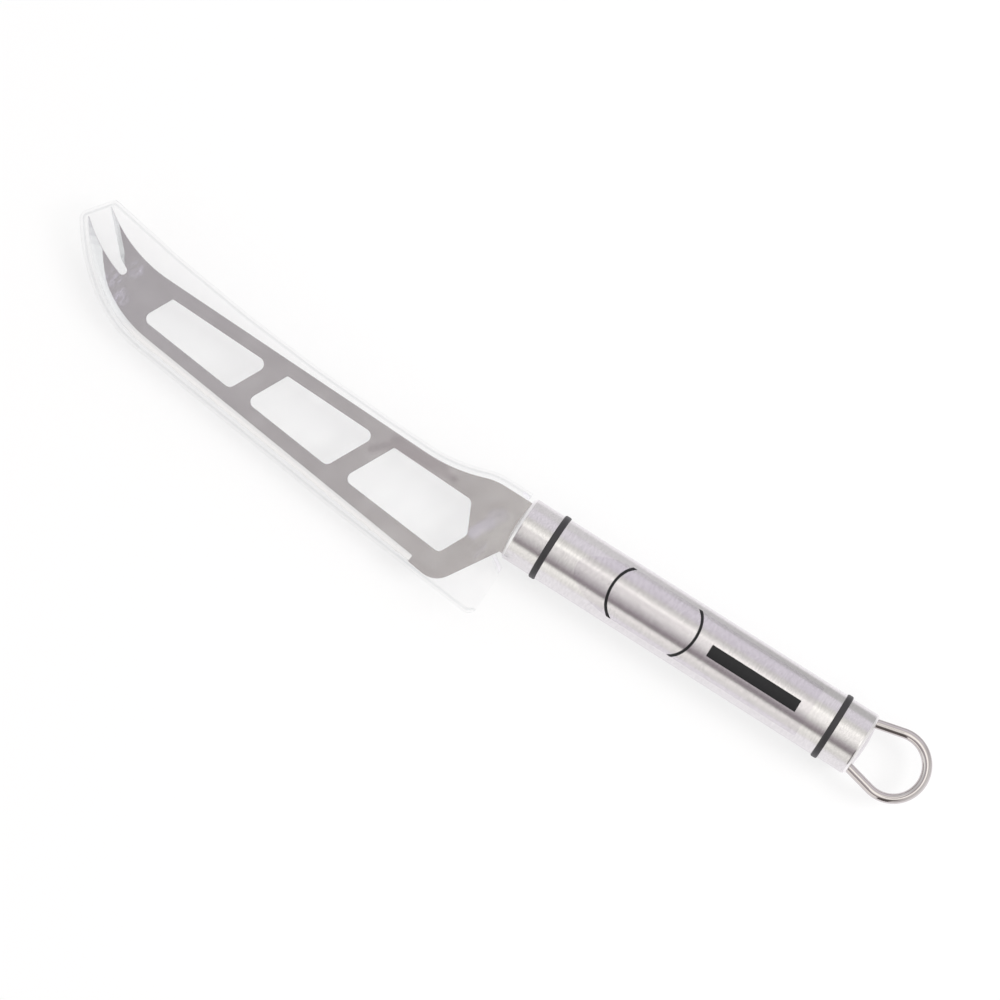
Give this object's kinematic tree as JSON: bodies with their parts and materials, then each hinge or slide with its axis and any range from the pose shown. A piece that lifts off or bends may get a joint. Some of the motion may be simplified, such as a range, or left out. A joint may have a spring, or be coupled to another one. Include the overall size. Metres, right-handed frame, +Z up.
{
  "type": "cheese knife",
  "caption": "Cheese knife with a windowed blade, forked tip and wavy edge, on a satin tube handle with a wire hanging loop, in a clear slip-off blade sleeve.",
  "frame": {"origin": "middle of the knife's box in plan, on the surface that its two rings lie on", "axes": "+X from the fork to the hanging loop, +Y from the cutting edge to the spine, +Z up, out of the blade's ground face"},
  "size_m": [0.2834, 0.045, 0.02],
  "materials": {
    "blade_steel": "polished flat faces with a bright ground bevel",
    "cap_steel": "satin, turned",
    "handle_steel": "satin, brushed round the tube",
    "ring_rubber": "matte",
    "loop_wire": "polished wire",
    "core_resin": "cast",
    "label_film": "clear film",
    "sleeve_film": "clear soft film"
  },
  "bodies": {
    "knife": {"blade": "blade_steel", "front_cap": "cap_steel", "front_ring": "ring_rubber", "handle_tube": "handle_steel", "tang_core": "core_resin", "rear_ring": "ring_rubber", "rear_cap": "cap_steel", "loop_plug": "core_resin", "hanging_loop": "loop_wire", "label_film": "label_film"},
    "blade_sleeve": {"sleeve_upper_film": "sleeve_film", "sleeve_lower_film": "sleeve_film", "sleeve_seam": "sleeve_film"}
  },
  "joints": [
    {"name": "sleeve_slide", "type": "slide", "parent": "knife", "child": "blade_sleeve", "axis": [-0.993, 0.1184, 0], "range_m": [0, 0.16]}
  ]
}
